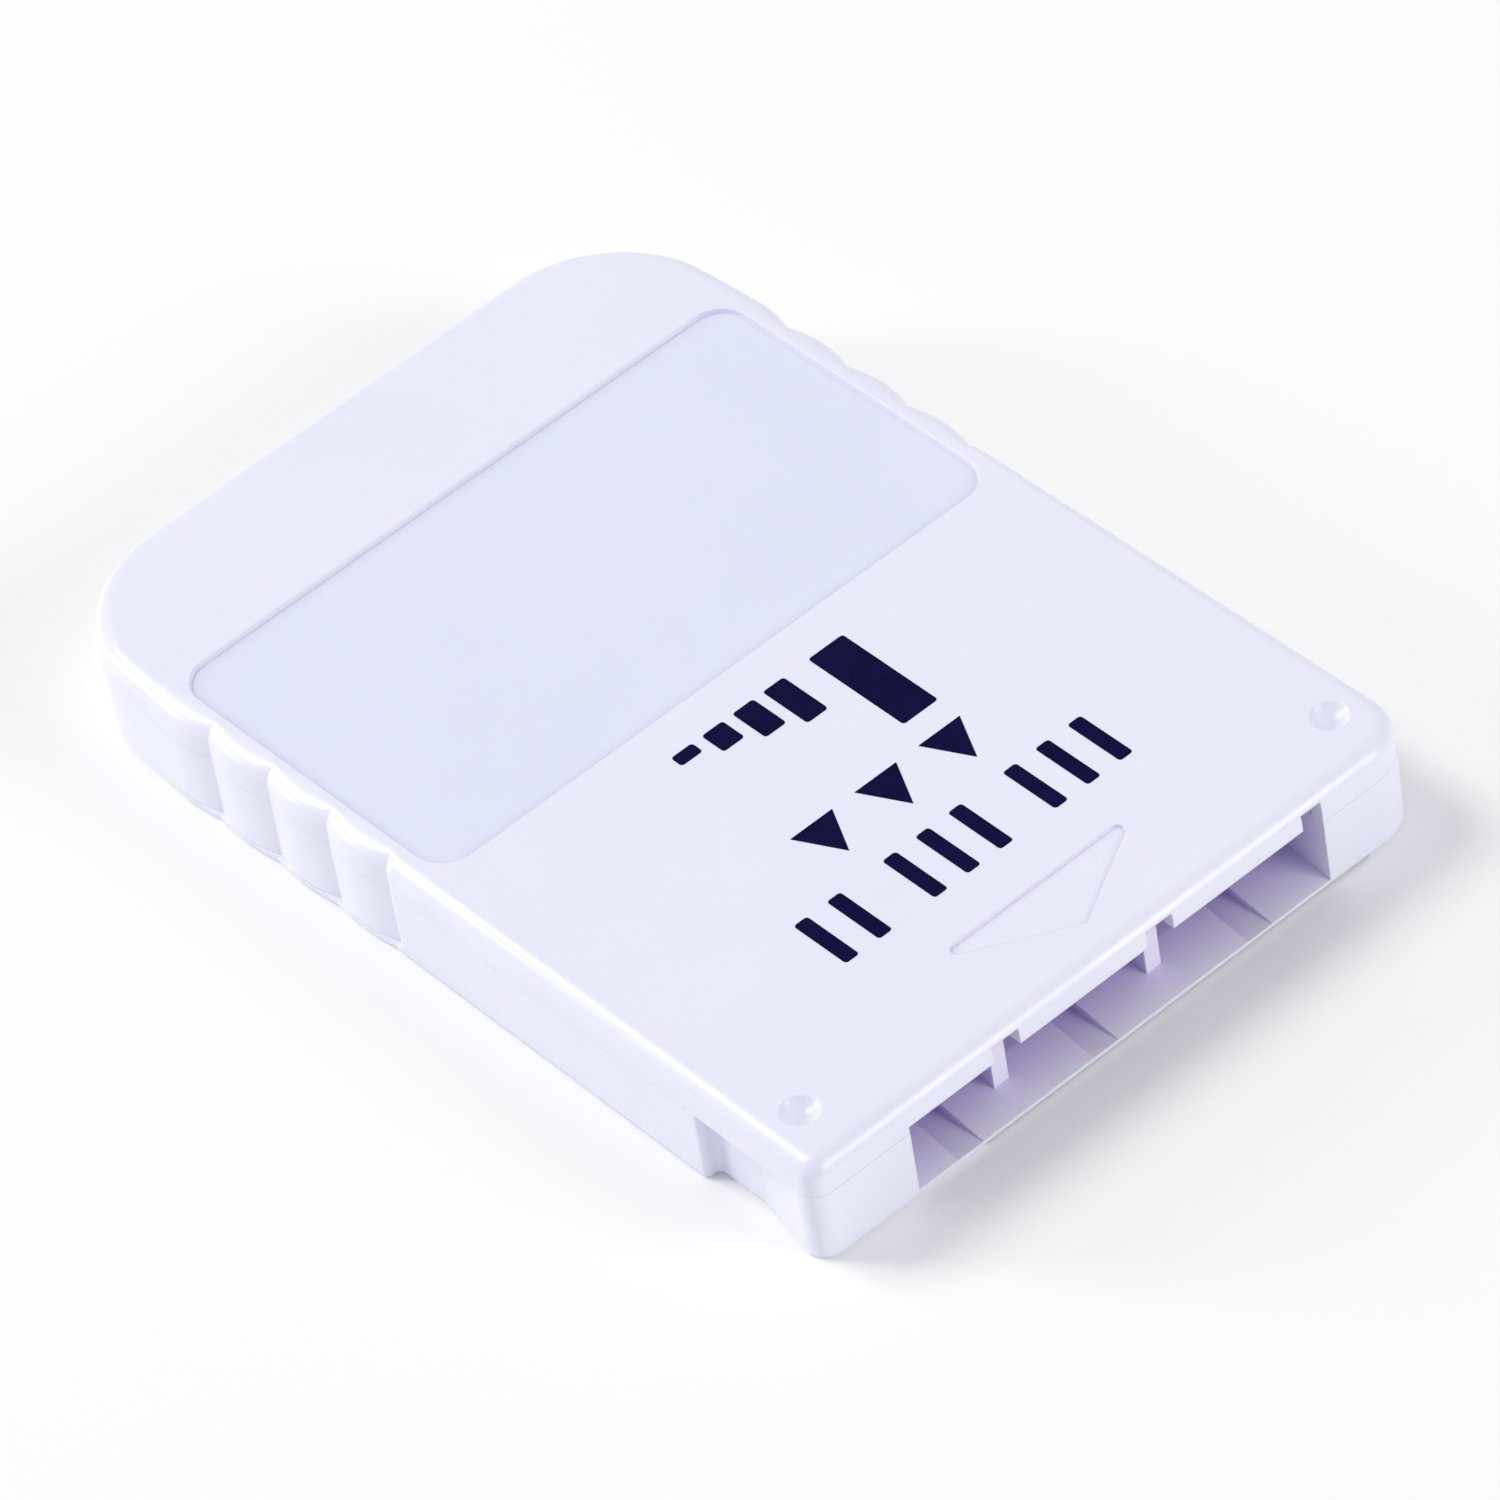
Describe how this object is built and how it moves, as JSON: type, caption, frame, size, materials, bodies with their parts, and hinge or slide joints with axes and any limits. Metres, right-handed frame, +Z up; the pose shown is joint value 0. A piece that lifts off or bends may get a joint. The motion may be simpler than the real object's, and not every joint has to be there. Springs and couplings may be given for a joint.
{
  "type": "console memory card",
  "caption": "Flat moulded console memory card: split pale case with a label recess, arrow, finger grips and a divided connector mouth, round a circuit board with gold contacts.",
  "frame": {"origin": "middle of the underside", "axes": "+Y along the card towards the grip end, -Y out of the connector mouth, +Z up through the label face"},
  "size_m": [0.0434, 0.064, 0.0068],
  "materials": {
    "case": "satin moulded, pale lavender white",
    "board": "varnished pale paper laminate",
    "gold": "thin pale gold plating",
    "chip": "matt black moulding",
    "resistor": "black glaze",
    "ceramic": "fired ceramic",
    "screw": "zinc plated"
  },
  "bodies": {
    "root": {"top_shell": "case", "bottom_shell": "case", "circuit_board": "board", "case_screw": "screw", "contact_1": "gold", "contact_2": "gold", "contact_3": "gold", "contact_4": "gold", "contact_5": "gold", "contact_6": "gold", "contact_7": "gold", "contact_8": "gold", "controller_chip": "chip", "memory_chip": "chip", "resonator": "ceramic", "diode": "chip", "capacitor_1": "ceramic", "capacitor_2": "ceramic", "capacitor_3": "ceramic", "resistor_1": "resistor", "resistor_2": "resistor", "resistor_3": "resistor", "resistor_4": "resistor"}
  },
  "joints": []
}
